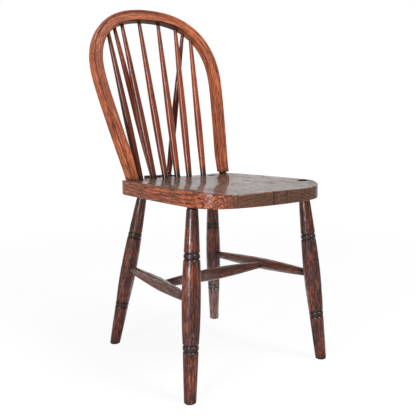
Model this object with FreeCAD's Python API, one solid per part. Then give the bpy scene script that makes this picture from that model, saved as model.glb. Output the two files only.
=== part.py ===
import FreeCAD, Part
import math
import os

# Hoop-back kitchen chair with braces, built as separate glued pieces.
# Front faces -Y, left and right lie along X, up is +Z, all sizes in mm.

V = FreeCAD.Vector
Z_AXIS = V(0, 0, 1)

# Seat board
SEAT_HEIGHT = 440.0
SEAT_THICKNESS = 36.0
SEAT_FRONT_Y = -271.0
SEAT_BACK_Y = 190.0
SEAT_FRONT_HALF = 170.0
SEAT_FRONT_BOW = 35.0
SEAT_BACK_HALF = 161.0
SEAT_BACK_BOW = 50.0
SEAT_WAIST_HALF = 169.5
SEAT_FRONT_CORNER = 88.0
SEAT_BACK_CORNER = 42.0
SEAT_TOP_ROUND = 2.5
SEAT_BOTTOM_ROUND = 3.0

# Saddle cut into the top of the seat
BOWL_DEPTH = 9.0
BOWL_CENTRE_Y = 40.0
BOWL_REACH = 290.0
BOWL_BACK_REACH = 190.0
BACK_RIM_DROP = 7.0
TAIL_RISE = 4.0
TAIL_RISE_HALF = 85.0
FRONT_DROP = 6.5
FRONT_REACH = 210.0
THIGH_DEPTH = 1.5
SADDLE_STEP = 12.0
SADDLE_OVERRUN = 24.0
SADDLE_STOCK = 6.0

# Legs: centre of each foot on the floor, and the leg's place at seat underside
FRONT_FOOT = (193.0, -205.0)
FRONT_SOCKET = (158.7, -177.5)
BACK_FOOT = (164.0, 200.0)
BACK_SOCKET = (108.0, 122.0)
LEG_TENON_DIA = 22.5
LEG_TENON_SUNK = 4.5
LEG_SHOULDER_GAP = 4.0
STRETCHER_ON_LEG = 214.0
FOOT_OVERRUN = 20.0

# Leg turning: distance up the leg, diameter
LEG_LOWER = [(0.0, 25.5), (50.0, 29.3), (80.0, 31.2), (104.0, 33.0)]
LEG_BELLY = [(125.0, 34.4), (155.0, 37.6), (209.0, 40.2), (260.0, 38.7), (295.0, 35.8)]
LEG_UPPER = [(316.0, 34.0), (351.0, 30.5), (376.0, 28.2)]
LEG_TOP_DIA = 25.0
GROOVE_DEPTH = 2.0
GROOVE_WIDTH = 4.4
LOWER_GROOVES = (109.0, 121.0)
UPPER_GROOVES = (300.0, 312.0)
BEAD_RISE = 0.2

# Wedges driven into the ends of tenons
WEDGE_THICK = 3.0
WEDGE_DEPTH = 20.0
WEDGE_PROUD = 3.0

# Hoop: half of its outer edge in its own sloping plane, out from the middle and up
HOOP_TILT = 18.6
HOOP_FOOT_Y = 114.0
HOOP_DEPTH = 25.0
HOOP_WIDTH = 29.5
HOOP_FOOT_WIDTH = 25.0
HOOP_FOOT_TAPER = 70.0
HOOP_ROUND = 4.0
HOOP_SHOULDER = {"left": -0.6, "right": 4.5}
HOOP_TENON_DIA = 20.0
HOOP_BEAD_IN = 6.0
HOOP_BEAD_WIDTH = 1.4
HOOP_BEAD_DEPTH = 1.0
HOOP_HALF = [
    (151.5, -8.0),
    (155.0, 20.0),
    (167.0, 91.0),
    (177.0, 155.0),
    (185.0, 208.0),
    (191.0, 257.0),
    (192.0, 308.0),
    (179.5, 361.0),
    (150.0, 407.5),
    (105.5, 439.5),
    (53.5, 455.5),
]
HOOP_TOP = 459.5
HOOP_STATIONS = 60

# Spindles: foot place on the seat and half spread where each meets the hoop
OUTER_FOOT = (98.0, 149.0)
OUTER_TOP_X = 128.0
MIDDLE_FOOT = (55.0, 155.0)
MIDDLE_TOP_X = 83.5
INNER_FOOT = (19.0, 157.0)
INNER_TOP_X = 29.5
SPINDLE_FOOT_DIA = 15.5
SPINDLE_SWELL_DIA = 19.3
STICK_SWELL_AT = 0.38
STICK_TAPER = 1.15
STICK_BACK_IN_HOOP = 2.5
SPINDLE_TOP_DIA = 9.8
STICK_FOOT_TENON = 18.0
STICK_TOP_TENON = 12.0
STICK_STATIONS = 10

# Braces run from the bobtail behind the seat to the hoop
BRACE_FOOT = (26.0, 213.0)
BRACE_TOP_X = 108.0
BRACE_FOOT_DIA = 14.0
BRACE_SWELL_DIA = 18.0
BRACE_TOP_DIA = 9.5

# Bobtail block let into the back edge of the seat
BOBTAIL_NECK_HALF = 30.0
BOBTAIL_END_HALF = 39.0
BOBTAIL_END_Y = 240.0
BOBTAIL_NOTCH = 10.0
BOBTAIL_BELOW_SEAT = 2.5
BOBTAIL_THICKNESS = 30.0
BOBTAIL_TENON_HALF = 22.0
BOBTAIL_TENON_THICK = 12.0
BOBTAIL_TENON_LONG = 26.0
BOBTAIL_OVERLAP = 2.0

# Stretchers
SIDE_END_DIA = 17.5
SIDE_SWELL_DIA = 29.0
CROSS_END_DIA = 16.5
CROSS_SWELL_DIA = 30.5
CROSS_PLACE = 0.56
STRETCHER_TENON = 14.0
STRETCHER_FULLNESS = 0.62

# Clearances of the glued joints
GLUE_GAP = 0.1
HOLE_EXTRA_DEPTH = 1.0

# Width of the blocks that trim ends level, wider than the whole chair
WORK_WIDE = 2000.0


def turned(points, start, end):
    """Solid of revolution from (distance, diameter) points, set from start towards end."""
    edges = []
    first = V(0, 0, points[0][0][0])
    rims = [[V(d / 2.0, 0, s) for s, d in run] for run in points]
    edges.append(Part.makeLine(first, rims[0][0]))
    for i, run in enumerate(rims):
        if i and (run[0] - rims[i - 1][-1]).Length > 1e-7:
            edges.append(Part.makeLine(rims[i - 1][-1], run[0]))
        if len(run) == 2:
            edges.append(Part.makeLine(run[0], run[1]))
        else:
            edges.append(spline(run).toShape())
    last = V(0, 0, points[-1][-1][0])
    edges.append(Part.makeLine(rims[-1][-1], last))
    edges.append(Part.makeLine(last, first))
    solid = Part.Face(Part.Wire(edges)).revolve(V(0, 0, 0), Z_AXIS, 360)
    return along(solid, start, end)


def along(shape, start, end):
    """Move a shape drawn up +Z so that it starts at start and points at end."""
    placed = shape.copy()
    turn = FreeCAD.Rotation(Z_AXIS, end - start)
    placed.Placement = FreeCAD.Placement(start, turn).multiply(shape.Placement)
    return placed


def rod(start, end, dia, before=0.0, after=0.0):
    """Cylinder from start to end, made longer at either end when asked."""
    way = (end - start).normalize()
    low = start - way * before
    return Part.makeCylinder(dia / 2.0, (end - start).Length + before + after, low, way)


def socket(mouth, bottom, dia, before):
    """Hole for a glued tenon, with its clearance round it and below it."""
    return rod(mouth, bottom, dia + 2 * GLUE_GAP, before, HOLE_EXTRA_DEPTH)


def toward(a, b, distance):
    return a + (b - a).normalize() * distance


def slab(z_low, z_high):
    """Wide block between two heights, used to trim ends flat."""
    return Part.makeBox(WORK_WIDE, WORK_WIDE, z_high - z_low,
                        V(-WORK_WIDE / 2, -WORK_WIDE / 2, z_low))


def half_slab(sign, z_low, z_high):
    """The same block on one side of the middle only."""
    block = slab(z_low, z_high)
    return block.common(Part.makeBox(WORK_WIDE / 2, WORK_WIDE, z_high - z_low,
                                     V(min(sign, 0) * WORK_WIDE / 2, -WORK_WIDE / 2, z_low)))


SEAT_UNDER = SEAT_HEIGHT - SEAT_THICKNESS
TILT = math.radians(HOOP_TILT)
HOOP_UP = V(0, math.sin(TILT), math.cos(TILT))
HOOP_BACK = V(0, math.cos(TILT), -math.sin(TILT))


def hoop_plane(x, t, back=0.0):
    """Point in the sloping plane of the hoop, t up the slope from seat height."""
    return V(x, HOOP_FOOT_Y, SEAT_HEIGHT) + HOOP_UP * t + HOOP_BACK * back


# Seat board: bowed front and back edges, nearly straight sides, rounded corners
def seat_blank(low, high):
    """Board with the seat's outline between two heights."""
    front_y = SEAT_FRONT_Y + SEAT_FRONT_BOW
    back_y = SEAT_BACK_Y - SEAT_BACK_BOW
    fl = V(-SEAT_FRONT_HALF, front_y, low)
    fr = V(SEAT_FRONT_HALF, front_y, low)
    bl = V(-SEAT_BACK_HALF, back_y, low)
    br = V(SEAT_BACK_HALF, back_y, low)
    edges = [
        Part.Arc(fl, V(0, SEAT_FRONT_Y, low), fr).toShape(),
        Part.Arc(fr, V(SEAT_WAIST_HALF, 0, low), br).toShape(),
        Part.Arc(br, V(0, SEAT_BACK_Y, low), bl).toShape(),
        Part.Arc(bl, V(-SEAT_WAIST_HALF, 0, low), fl).toShape(),
    ]
    board = Part.Face(Part.Wire(edges)).extrude(V(0, 0, high - low))
    for y_corner, radius in ((front_y, SEAT_FRONT_CORNER), (back_y, SEAT_BACK_CORNER)):
        upright = []
        for edge in board.Edges:
            a, b = [v.Point for v in edge.Vertexes]
            if abs(a.z - b.z) > 1 and abs(a.y - y_corner) < 1:
                upright.append(edge)
        board = board.makeFillet(radius, upright)
    return board


def saddle_depth(x, y):
    """How far the worn, hollowed top lies under the seat's full height."""
    across = min(abs(x) / SEAT_WAIST_HALF, 1.0)
    bowl_side = math.cos(across * math.pi / 2) ** 2
    reach = BOWL_BACK_REACH if y > BOWL_CENTRE_Y else BOWL_REACH
    off = min(abs(y - BOWL_CENTRE_Y) / reach, 1.0)
    bowl = BOWL_DEPTH * bowl_side * math.cos(off * math.pi / 2) ** 2
    behind = min(max((y - BOWL_CENTRE_Y) / (SEAT_BACK_Y - BOWL_CENTRE_Y), 0.0), 1.0)
    rim = BACK_RIM_DROP * (1 - across ** 4) * behind ** 2
    beside_tail = min(abs(x) / TAIL_RISE_HALF, 1.0)
    tail = TAIL_RISE * math.cos(beside_tail * math.pi / 2) ** 2 * behind ** 2
    near = min(max((SEAT_FRONT_Y + FRONT_REACH - y) / FRONT_REACH, 0.0), 1.0)
    near = near * near * (3 - 2 * near)
    front = FRONT_DROP * near * (1 - across ** 8)
    thigh = THIGH_DEPTH * near * math.sin(across * math.pi) ** 2
    return bowl + rim + front + thigh - tail


def saddle_cutter():
    """Everything above the hollowed seat surface."""
    x_end = SEAT_FRONT_HALF + SADDLE_OVERRUN
    y_low = SEAT_FRONT_Y - SADDLE_OVERRUN
    y_high = SEAT_BACK_Y + SADDLE_OVERRUN
    nx = int(2 * x_end / SADDLE_STEP) + 1
    ny = int((y_high - y_low) / SADDLE_STEP) + 1
    grid = []
    for i in range(nx):
        x = -x_end + 2 * x_end * i / (nx - 1)
        row = []
        for j in range(ny):
            y = y_low + (y_high - y_low) * j / (ny - 1)
            row.append(V(x, y, SEAT_HEIGHT - saddle_depth(x, y)))
        grid.append(row)
    surface = Part.BSplineSurface()
    surface.interpolate(grid)
    return surface.toShape().extrude(V(0, 0, SEAT_THICKNESS))


def seat_surface_z(x, y):
    return SEAT_HEIGHT - saddle_depth(x, y)


# Leg axes
def leg_axis(foot, under, side):
    """Foot centre on the floor and the point where the axis meets seat underside."""
    return V(side * foot[0], foot[1], 0), V(side * under[0], under[1], SEAT_UNDER)


def groove(centre, dia):
    half = GROOVE_WIDTH / 2
    return [(centre - half, dia), (centre - half / 3, dia - 2 * GROOVE_DEPTH),
            (centre + half / 3, dia - 2 * GROOVE_DEPTH), (centre + half, dia)]


def grooved_band(pair, below, above):
    """Two cut grooves with a soft bead between them, joining two tapers."""
    low = groove(pair[0], below)
    high = groove(pair[1], above)
    middle = (pair[0] + pair[1]) / 2
    bead_dia = (below + above) / 2 + 2 * BEAD_RISE
    bead = [low[-1], (middle, bead_dia), high[0]]
    return [low[:2], low[1:3], low[2:], bead, high[:2], high[1:3], high[2:]]


def leg_runs(length):
    """Profile of a leg whose axis is this long from floor to seat underside."""
    shoulder = length - LEG_SHOULDER_GAP
    low_pair = grooved_band(LOWER_GROOVES, LEG_LOWER[-1][1], LEG_BELLY[0][1])
    high_pair = grooved_band(UPPER_GROOVES, LEG_BELLY[-1][1], LEG_UPPER[0][1])
    lower = [(-FOOT_OVERRUN, LEG_LOWER[0][1])] + LEG_LOWER + [low_pair[0][0]]
    belly = [low_pair[-1][-1]] + LEG_BELLY[1:-1] + [high_pair[0][0]]
    upper = [high_pair[-1][-1]] + LEG_UPPER[1:] + [(shoulder, LEG_TOP_DIA)]
    tenon_end = length + SEAT_THICKNESS
    ends = [[(shoulder, LEG_TOP_DIA), (shoulder, LEG_TENON_DIA)],
            [(shoulder, LEG_TENON_DIA), (tenon_end, LEG_TENON_DIA)]]
    return [lower] + low_pair + [belly] + high_pair + [upper] + ends


def leg_station(axis, distance):
    return toward(axis[0], axis[1], distance)


def wedge_blank(axis_top, way, half_length):
    """Thin wedge lying along X, its thick end at axis_top and its edge lower down."""
    p = [V(-half_length, -WEDGE_THICK / 2, 0), V(-half_length, WEDGE_THICK / 2, 0),
         V(-half_length, 0, -WEDGE_DEPTH)]
    face = Part.Face(Part.makePolygon(p + [p[0]]))
    body = face.extrude(V(2 * half_length, 0, 0))
    return along(body, axis_top, axis_top + way)


# Hoop
def spline(points):
    curve = Part.BSplineCurve()
    curve.interpolate(points)
    return curve


def hoop_edge():
    """Outer edge of the hoop in its middle plane, from right foot to left foot."""
    right = [hoop_plane(x, t) for x, t in HOOP_HALF]
    left = [hoop_plane(-x, t) for x, t in HOOP_HALF]
    return spline(right + [hoop_plane(0, HOOP_TOP)] + left[::-1])


def hoop_row(edge, share, inset, back):
    """Points inset from the outer edge by a share of the hoop's width and a distance."""
    first, last = edge.FirstParameter, edge.LastParameter
    row = []
    for i in range(HOOP_STATIONS + 1):
        u = first + (last - first) * i / HOOP_STATIONS
        here = edge.value(u)
        inward = edge.tangent(u)[0].cross(HOOP_BACK).normalize()
        if inward.dot(here - hoop_plane(0, HOOP_TOP / 2)) > 0:
            inward = inward * -1
        up = (here - hoop_plane(0, 0)).dot(HOOP_UP)
        full = min(max(up / HOOP_FOOT_TAPER, 0.0), 1.0)
        full = full * full * (3 - 2 * full)
        width = HOOP_FOOT_WIDTH + (HOOP_WIDTH - HOOP_FOOT_WIDTH) * full
        row.append(here + inward * (width * share + inset) + HOOP_BACK * back)
    return row


def band_between(outer, inner, depth):
    """Bent band between two rows of points, given its depth along the hoop's normal."""
    ends = [Part.makeLine(outer[-1], inner[-1]), Part.makeLine(inner[0], outer[0])]
    wire = Part.Wire([spline(outer).toShape(), ends[0], spline(inner).toShape(), ends[1]])
    return Part.Face(wire).extrude(HOOP_BACK * depth)


def hoop_blank(edge):
    """Whole bent hoop with rounded edges and a scratched line near its outer edge."""
    front = -HOOP_DEPTH / 2
    band = band_between(hoop_row(edge, 0, 0, front), hoop_row(edge, 1, 0, front), HOOP_DEPTH)
    rims = [e for e in band.Edges if e.Length > HOOP_TOP]
    band = band.makeFillet(HOOP_ROUND, rims)
    line = band_between(hoop_row(edge, 0, HOOP_BEAD_IN, front),
                        hoop_row(edge, 0, HOOP_BEAD_IN + HOOP_BEAD_WIDTH, front),
                        HOOP_BEAD_DEPTH)
    return band.cut(line)


def point_on_hoop(curve, x):
    """Place where the hoop's middle line passes a distance x from the centre, near the top."""
    steps = 2000
    first, last = curve.FirstParameter, curve.LastParameter
    best = None
    for i in range(steps + 1):
        p = curve.value(first + (last - first) * i / steps)
        if p.z > SEAT_HEIGHT + HOOP_TOP / 2:
            if best is None or abs(p.x - x) < abs(best.x - x):
                best = p
    return best


def stick_dia(share, foot_dia, swell_dia, top_dia):
    """Diameter of a swelled stick at a share of its length above its foot."""
    if share < STICK_SWELL_AT:
        away = max((STICK_SWELL_AT - share) / STICK_SWELL_AT, 0.0)
        return swell_dia - (swell_dia - foot_dia) * min(away, 1.0) ** 2
    away = min((share - STICK_SWELL_AT) / (1 - STICK_SWELL_AT), 1.0)
    return swell_dia - (swell_dia - top_dia) * away ** STICK_TAPER


def stick(foot, top, dias):
    """Turned stick with its tapered ends running on as tenons into seat and hoop."""
    body = (top - foot).Length - HOOP_WIDTH / 2
    main = []
    for i in range(STICK_STATIONS + 1):
        share = i / STICK_STATIONS
        main.append((body * share, stick_dia(share, *dias)))
    foot_end = [(-STICK_FOOT_TENON, dias[0]), (0.0, dias[0])]
    top_end = [(body, dias[2]), (body + STICK_TOP_TENON, dias[2])]
    return turned([foot_end, main, top_end], foot, top)


def foot_hole(foot, top, dia):
    """Blind hole that takes the foot of a stick."""
    return socket(foot, toward(foot, top, -STICK_FOOT_TENON), dia, 2 * STICK_FOOT_TENON)


def top_hole(foot, top, dia):
    """Blind hole in the hoop that takes the top of a stick."""
    length = (top - foot).Length
    start = toward(foot, top, length - HOOP_WIDTH)
    end = toward(foot, top, length - HOOP_WIDTH / 2 + STICK_TOP_TENON)
    return socket(start, end, dia, 0.0)


def stretcher_runs(length, end_dia, swell_dia, peak):
    """Swelled stretcher, its tapered ends running on as tenons."""
    rise = end_dia + STRETCHER_FULLNESS * (swell_dia - end_dia)
    main = [(0.0, end_dia), (length * peak / 2, rise), (length * peak, swell_dia),
            (length * (1 + peak) / 2, rise), (length, end_dia)]
    return [[(-STRETCHER_TENON, end_dia), (0.0, end_dia)], main,
            [(length, end_dia), (length + STRETCHER_TENON, end_dia)]]


def stretcher(a, b, inset, end_dia, swell_dia, peak):
    """Stretcher between two turned pieces, reaching inset from each middle line."""
    start = toward(a, b, inset)
    length = (b - a).Length - 2 * inset
    return turned(stretcher_runs(length, end_dia, swell_dia, peak), start, b)


def stretcher_hole(centre, other, radius, dia):
    """Blind hole in a turned piece of this radius, for a stretcher coming from other."""
    mouth = toward(centre, other, radius)
    bottom = toward(centre, other, radius - STRETCHER_TENON)
    return socket(mouth, bottom, dia, radius)


nodes = {}
sides = {"left": -1, "right": 1}

# Seat and its saddle
seat = seat_blank(SEAT_UNDER, SEAT_HEIGHT + SADDLE_STOCK).cut(saddle_cutter())
rim = [e for e in seat.Edges if e.BoundBox.ZMin > SEAT_HEIGHT - SEAT_THICKNESS / 2]
rim = [e for e in rim if e.BoundBox.ZLength < SEAT_THICKNESS / 2]
seat = seat.makeFillet(SEAT_TOP_ROUND, rim)
under = [e for e in seat.Edges if e.BoundBox.ZMax < SEAT_UNDER + 0.01]
seat = seat.makeFillet(SEAT_BOTTOM_ROUND, under)

# Legs with wedged through tenons
belly_dia = LEG_BELLY[2][1]
leg_axes = {}
for row, foot, under_point in (("front", FRONT_FOOT, FRONT_SOCKET), ("back", BACK_FOOT, BACK_SOCKET)):
    for side, sign in sides.items():
        axis = leg_axis(foot, under_point, sign)
        leg_axes[row, side] = axis
        way = (axis[1] - axis[0]).normalize()
        length = (axis[1] - axis[0]).Length
        leg = turned(leg_runs(length), axis[0], axis[1])
        hole_x = axis[1].x + way.x * SEAT_THICKNESS
        hole_y = axis[1].y + way.y * SEAT_THICKNESS
        end_z = seat_surface_z(hole_x, hole_y) - LEG_TENON_SUNK
        leg = leg.common(slab(0.0, end_z))
        end_point = axis[1] + way * ((end_z - SEAT_UNDER) / way.z)
        wedge = wedge_blank(end_point + way * WEDGE_PROUD, way, LEG_TENON_DIA)
        wedge = wedge.common(rod(axis[0], axis[1], LEG_TENON_DIA, 0, SEAT_THICKNESS))
        wedge = wedge.common(slab(0.0, end_z))
        nodes["leg_%s_%s" % (row, side)] = leg.cut(wedge)
        nodes["leg_wedge_%s_%s" % (row, side)] = wedge
        seat = seat.cut(socket(axis[0] + way * (length - LEG_SHOULDER_GAP), axis[1],
                               LEG_TENON_DIA, 0.0))
        seat = seat.cut(rod(axis[1], axis[1] + way * SEAT_THICKNESS,
                            LEG_TENON_DIA + 2 * GLUE_GAP, 0.0, SEAT_THICKNESS))

# Side stretchers between front and back legs, then the cross stretcher
centres = {}
for side in sides:
    front = leg_station(leg_axes["front", side], STRETCHER_ON_LEG)
    back = leg_station(leg_axes["back", side], STRETCHER_ON_LEG)
    radius = belly_dia / 2
    nodes["stretcher_%s" % side] = stretcher(back, front, radius, SIDE_END_DIA,
                                            SIDE_SWELL_DIA, CROSS_PLACE)
    for row, here, other in (("front", front, back), ("back", back, front)):
        name = "leg_%s_%s" % (row, side)
        nodes[name] = nodes[name].cut(stretcher_hole(here, other, radius, SIDE_END_DIA))
    centres[side] = back + (front - back) * CROSS_PLACE
side_radius = SIDE_SWELL_DIA / 2
nodes["stretcher_cross"] = stretcher(centres["left"], centres["right"], side_radius,
                                     CROSS_END_DIA, CROSS_SWELL_DIA, 0.5)
for side, other in (("left", "right"), ("right", "left")):
    name = "stretcher_%s" % side
    hole = stretcher_hole(centres[side], centres[other], side_radius, CROSS_END_DIA)
    nodes[name] = nodes[name].cut(hole)

# Bobtail: fishtail block behind the seat, tenoned into its back edge
bob_top = SEAT_HEIGHT - BOBTAIL_BELOW_SEAT
bob_low = bob_top - BOBTAIL_THICKNESS
neck_y = SEAT_BACK_Y - SEAT_BACK_BOW * (BOBTAIL_NECK_HALF / SEAT_BACK_HALF) ** 2
corner = [V(-BOBTAIL_NECK_HALF, SEAT_BACK_Y - SEAT_BACK_BOW, bob_low),
          V(-BOBTAIL_NECK_HALF, neck_y, bob_low),
          V(-BOBTAIL_END_HALF, BOBTAIL_END_Y, bob_low),
          V(BOBTAIL_END_HALF, BOBTAIL_END_Y, bob_low),
          V(BOBTAIL_NECK_HALF, neck_y, bob_low),
          V(BOBTAIL_NECK_HALF, SEAT_BACK_Y - SEAT_BACK_BOW, bob_low)]
tail_end = Part.Arc(corner[2], V(0, BOBTAIL_END_Y - BOBTAIL_NOTCH, bob_low), corner[3]).toShape()
tail_wire = Part.Wire([Part.makeLine(corner[0], corner[1]), Part.makeLine(corner[1], corner[2]),
                       tail_end, Part.makeLine(corner[3], corner[4]),
                       Part.makeLine(corner[4], corner[5]), Part.makeLine(corner[5], corner[0])])
bobtail = Part.Face(tail_wire).extrude(V(0, 0, BOBTAIL_THICKNESS))
bobtail = bobtail.cut(seat_blank(SEAT_UNDER, SEAT_HEIGHT + SEAT_THICKNESS))
tenon_z = bob_low + (BOBTAIL_THICKNESS - BOBTAIL_TENON_THICK) / 2
tenon_y = SEAT_BACK_Y - BOBTAIL_TENON_LONG
tenon_run = BOBTAIL_TENON_LONG + BOBTAIL_OVERLAP
tenon = Part.makeBox(2 * BOBTAIL_TENON_HALF, tenon_run, BOBTAIL_TENON_THICK,
                     V(-BOBTAIL_TENON_HALF, tenon_y, tenon_z))
mortise = Part.makeBox(2 * (BOBTAIL_TENON_HALF + GLUE_GAP), tenon_run,
                       BOBTAIL_TENON_THICK + 2 * GLUE_GAP,
                       V(-BOBTAIL_TENON_HALF - GLUE_GAP, tenon_y - HOLE_EXTRA_DEPTH,
                         tenon_z - GLUE_GAP))
bobtail = bobtail.fuse(tenon).removeSplitter()
seat = seat.cut(mortise)

# Hoop with its two round tenons through the seat
outline = hoop_edge()
curve = spline(hoop_row(outline, 0.5, 0, 0))
hole_line = spline(hoop_row(outline, 0.5, 0, STICK_BACK_IN_HOOP))
hoop = hoop_blank(outline)
for side, sign in sides.items():
    hoop = hoop.cut(half_slab(sign, 0.0, SEAT_HEIGHT + HOOP_SHOULDER[side]))
foot_point = curve.value(curve.FirstParameter)
foot_way = curve.tangent(curve.FirstParameter)[0]
if foot_way.z > 0:
    foot_way = foot_way * -1
for side, sign in sides.items():
    top = V(sign * foot_point.x, foot_point.y, foot_point.z)
    way = V(sign * foot_way.x, foot_way.y, foot_way.z)
    low = top + way * ((SEAT_UNDER - top.z) / way.z)
    shoulder_z = SEAT_HEIGHT + HOOP_SHOULDER[side]
    tenon = rod(top, low, HOOP_TENON_DIA, SEAT_THICKNESS, SEAT_THICKNESS)
    tenon = tenon.common(slab(SEAT_UNDER, shoulder_z))
    seat = seat.cut(rod(top, low, HOOP_TENON_DIA + 2 * GLUE_GAP, SEAT_THICKNESS, SEAT_THICKNESS))
    wedge = wedge_blank(low + way * WEDGE_PROUD, way, HOOP_TENON_DIA)
    wedge = wedge.common(rod(top, low, HOOP_TENON_DIA, 0, SEAT_THICKNESS))
    wedge = wedge.common(slab(SEAT_UNDER, SEAT_HEIGHT))
    nodes["hoop_wedge_%s" % side] = wedge
    hoop = hoop.fuse(tenon).cut(wedge)

# Spindles and braces
spindle_dias = (SPINDLE_FOOT_DIA, SPINDLE_SWELL_DIA, SPINDLE_TOP_DIA)
brace_dias = (BRACE_FOOT_DIA, BRACE_SWELL_DIA, BRACE_TOP_DIA)
for name, foot, top_x in (("outer", OUTER_FOOT, OUTER_TOP_X), ("middle", MIDDLE_FOOT, MIDDLE_TOP_X),
                          ("inner", INNER_FOOT, INNER_TOP_X)):
    for side, sign in sides.items():
        start = V(sign * foot[0], foot[1], seat_surface_z(foot[0], foot[1]))
        end = point_on_hoop(hole_line, sign * top_x)
        nodes["spindle_%s_%s" % (name, side)] = stick(start, end, spindle_dias)
        seat = seat.cut(foot_hole(start, end, SPINDLE_FOOT_DIA))
        hoop = hoop.cut(top_hole(start, end, SPINDLE_TOP_DIA))
for side, sign in sides.items():
    start = V(sign * BRACE_FOOT[0], BRACE_FOOT[1], bob_top)
    end = point_on_hoop(hole_line, sign * BRACE_TOP_X)
    nodes["brace_%s" % side] = stick(start, end, brace_dias)
    bobtail = bobtail.cut(foot_hole(start, end, BRACE_FOOT_DIA))
    hoop = hoop.cut(top_hole(start, end, BRACE_TOP_DIA))

nodes["seat_board"] = seat
nodes["bobtail"] = bobtail
nodes["hoop"] = hoop

# Origin: middle of the footprint, on the floor
whole = Part.makeCompound(list(nodes.values())).optimalBoundingBox(False)
shift = V(-(whole.XMin + whole.XMax) / 2, -(whole.YMin + whole.YMax) / 2, -whole.ZMin)
os.makedirs("parts", exist_ok=True)
for name, shape in nodes.items():
    piece = shape.copy()
    piece.translate(shift)
    piece.exportStep("parts/%s.step" % name)
    box = piece.BoundBox
    print("%-26s solids %d valid %s vol %.0f  x %.1f..%.1f y %.1f..%.1f z %.1f..%.1f" % (
        name, len(piece.Solids), piece.isValid(), piece.Volume,
        box.XMin, box.XMax, box.YMin, box.YMax, box.ZMin, box.ZMax))
print("shift", shift, "size", whole.XLength, whole.YLength, whole.ZLength)
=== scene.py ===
import math
import random

import bmesh
import bpy
import numpy as np
from mathutils import Matrix, Vector


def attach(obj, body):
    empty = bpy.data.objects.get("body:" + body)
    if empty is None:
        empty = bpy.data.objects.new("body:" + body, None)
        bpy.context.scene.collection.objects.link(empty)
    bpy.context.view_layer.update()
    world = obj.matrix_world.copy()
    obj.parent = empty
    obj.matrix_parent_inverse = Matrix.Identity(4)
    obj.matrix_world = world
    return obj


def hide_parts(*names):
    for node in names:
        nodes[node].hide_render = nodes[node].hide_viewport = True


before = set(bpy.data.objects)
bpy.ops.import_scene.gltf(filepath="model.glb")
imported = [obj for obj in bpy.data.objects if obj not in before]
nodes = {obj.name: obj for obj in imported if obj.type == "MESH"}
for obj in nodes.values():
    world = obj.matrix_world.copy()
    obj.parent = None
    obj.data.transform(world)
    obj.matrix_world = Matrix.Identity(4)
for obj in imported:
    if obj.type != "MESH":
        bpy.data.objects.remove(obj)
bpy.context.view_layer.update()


# Seat board: one wide plank of open-grained hardwood with its grain from front to back,
# hollowed for sitting and bored through for the legs and the hoop. It was stained dark
# and waxed; the top has worn to a grey sheen and the edges show red-brown figure.

class Strand:
    """A socket of a node tree. Sums and products of strands add the tree's own maths nodes."""

    def __init__(self, tree, socket=None):
        self.tree = tree
        self.socket = socket

    def node(self, kind, values=(), settings=(), out=0):
        """Adds any node: type, values or links of its sockets, settings, and the output wanted."""
        made = self.tree.nodes.new(kind)
        for key, setting in dict(settings).items():
            if key == "stops":
                ramp = made.color_ramp
                for i, (at, colour) in enumerate(setting):
                    stop = ramp.elements[i] if i < 2 else ramp.elements.new(at)
                    stop.position, stop.color = at, (*colour, 1)
            else:
                setattr(made, key, setting)
        for key, value in dict(values).items():
            socket = self.named(made.inputs, key)
            if isinstance(value, Strand):
                self.tree.links.new(value.socket, socket)
            else:
                socket.default_value = value
        return Strand(self.tree, self.named(made.outputs, out))

    def named(self, sockets, key):
        if isinstance(key, int):
            return sockets[key]
        return next(s for s in sockets if key in (s.identifier, s.name) and s.enabled)

    def maths(self, operation, *parts):
        """Maths on numbers, or on vectors as soon as one part is a vector."""
        vector = any(isinstance(p, Strand) and p.socket.type == "VECTOR" for p in parts)
        if vector:
            parts = [p if isinstance(p, (Strand, tuple)) else (p, p, p) for p in parts]
        kind = "ShaderNodeVectorMath" if vector else "ShaderNodeMath"
        out = "Value" if operation in ("DOT_PRODUCT", "LENGTH") else 0
        return self.node(kind, dict(enumerate(parts)), {"operation": operation}, out)

    def __add__(self, other):
        return self.maths("ADD", self, other)

    __radd__ = __add__

    def __sub__(self, other):
        return self.maths("SUBTRACT", self, other)

    def __rsub__(self, other):
        return self.maths("SUBTRACT", other, self)

    def __mul__(self, other):
        return self.maths("MULTIPLY", self, other)

    __rmul__ = __mul__

    def __truediv__(self, other):
        return self.maths("DIVIDE", self, other)

    def __pow__(self, other):
        return self.maths("POWER", self, other)

    def least(self, other):
        return self.maths("MINIMUM", self, other)

    def most(self, other):
        return self.maths("MAXIMUM", self, other)

    def between(self, low, high):
        """0 below low, 1 above high, and a soft step between them."""
        return self.node("ShaderNodeMapRange", {"Value": self, "From Min": low, "From Max": high},
                         {"interpolation_type": "SMOOTHSTEP"})

    def noise(self, stretch, detail=2.0, rough=0.55):
        """Cloudy pattern, with this many clouds to the metre across, deep and along."""
        return self.node("ShaderNodeTexNoise",
                         {"Vector": self * stretch, "Scale": 1.0, "Detail": detail,
                          "Roughness": rough}, out="Fac")


def shade(red, green, blue):
    """A colour read as 0 to 255 on screen, as the light it stands for."""
    return tuple(((c / 255 + 0.055) / 1.055) ** 2.4 for c in (red, green, blue)) + (1,)


def mix(start, base, top, mask):
    return start.node("ShaderNodeMix", {"Factor_Float": mask, "A_Color": base, "B_Color": top},
                      {"data_type": "RGBA"}, "Result_Color")


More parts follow.
